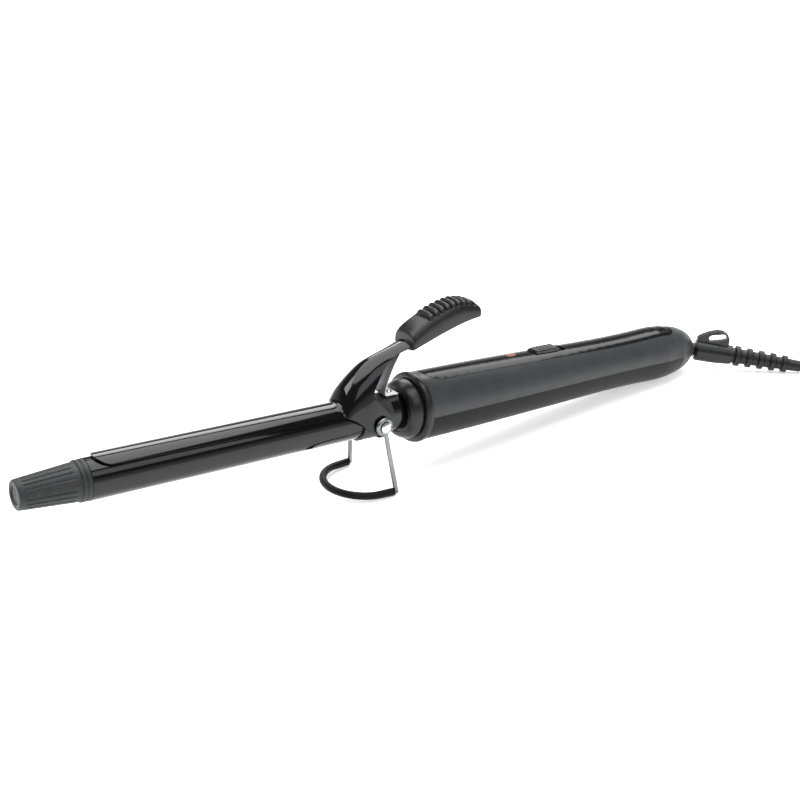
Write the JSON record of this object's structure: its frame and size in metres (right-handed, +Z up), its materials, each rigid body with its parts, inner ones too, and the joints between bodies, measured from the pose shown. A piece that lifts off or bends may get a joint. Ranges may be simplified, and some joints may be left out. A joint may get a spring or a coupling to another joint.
{
  "type": "curling iron",
  "caption": "Curling iron with a round barrel, sprung clip and thumb press, cool tip, folding wire stand, tapered handle with slide switch, and a swivel mains lead with plug.",
  "frame": {"origin": "middle of the iron's outer box in plan, without its cord, at table height, with the iron resting on its stand and the rear of its handle", "axes": "+Z up from the table, +X along the iron from the cool tip towards the lead, +Y across it; the barrel axis tips up by 5.6 degrees towards -X"},
  "size_m": [0.6528, 0.074, 0.0719],
  "materials": {
    "gloss_black_tube": "gloss",
    "gloss_black_clip": "gloss",
    "tip_plastic": "matte",
    "thumb_plastic": "matte",
    "handle_plastic": "satin",
    "collar_plastic": "satin",
    "panel_gloss": "gloss",
    "bright_steel": "satin",
    "heat_sleeve": "matte",
    "aluminium": "satin",
    "ceramic": "matte",
    "amber_film": "gloss",
    "wire_insulation": "satin",
    "lens": "gloss",
    "board": "satin",
    "inner_black": "matte",
    "screw_steel": "satin",
    "swivel_plastic": "satin",
    "cord_rubber": "satin",
    "plug_metal": "polished"
  },
  "bodies": {
    "handle_and_barrel": {"barrel_tube": "gloss_black_tube", "cool_tip": "tip_plastic", "tip_ring": "tip_plastic", "heat_spreader_upper": "aluminium", "heat_spreader_lower": "aluminium", "ptc_heater": "ceramic", "insulating_sheets": "amber_film", "thermal_fuse": "ceramic", "heater_wires": "wire_insulation", "hinge_saddle": "bright_steel", "hinge_pins": "bright_steel", "leaf_spring": "bright_steel", "spring_rivet": "bright_steel", "front_collar": "collar_plastic", "trim_ring": "collar_plastic", "barrel_bushing": "ceramic", "handle_upper_shell": "handle_plastic", "handle_lower_shell": "handle_plastic", "top_panel": "panel_gloss", "switch_housing": "inner_black", "indicator_lens": "lens", "indicator_lamp": "lens", "circuit_board": "board", "shell_screws": "screw_steel", "rear_cap": "handle_plastic", "cord_lead": "cord_rubber", "cord_hank": "cord_rubber", "cord_tie": "cord_rubber", "cord_tail": "cord_rubber", "plug_body": "cord_rubber", "plug_pins": "plug_metal"},
    "clip": {"clip_lever": "gloss_black_clip", "thumb_press": "thumb_plastic"},
    "stand": {"wire_stand": "bright_steel", "stand_sleeve": "heat_sleeve"},
    "slide_switch": {"switch_slider": "panel_gloss"},
    "cord_swivel": {"swivel_ball": "swivel_plastic", "cord_connector": "swivel_plastic", "strain_relief": "cord_rubber"}
  },
  "joints": [
    {"name": "clip_hinge", "type": "hinge", "parent": "handle_and_barrel", "child": "clip", "pos_m": [-0.0442, 0.013, 0.03025], "axis": [0, 1, 0], "range_deg": [0, 20], "stiffness_Nm_per_rad": 0.8, "springref_deg": -20.05, "deforming": ["leaf_spring"]},
    {"name": "stand_swing", "type": "hinge", "parent": "handle_and_barrel", "child": "stand", "pos_m": [-0.0442, 0.013, 0.03025], "axis": [0, 1, 0], "range_deg": [0, 38]},
    {"name": "switch_slide", "type": "slide", "parent": "handle_and_barrel", "child": "slide_switch", "axis": [0.9952, 0, -0.0976], "range_m": [0, 0.004]},
    {"name": "cord_swivel_spin", "type": "hinge", "parent": "handle_and_barrel", "child": "cord_swivel", "pos_m": [0.14937, 0.013, 0.01127], "axis": [0.7087, -0.6934, -0.1299], "continuous": true}
  ]
}
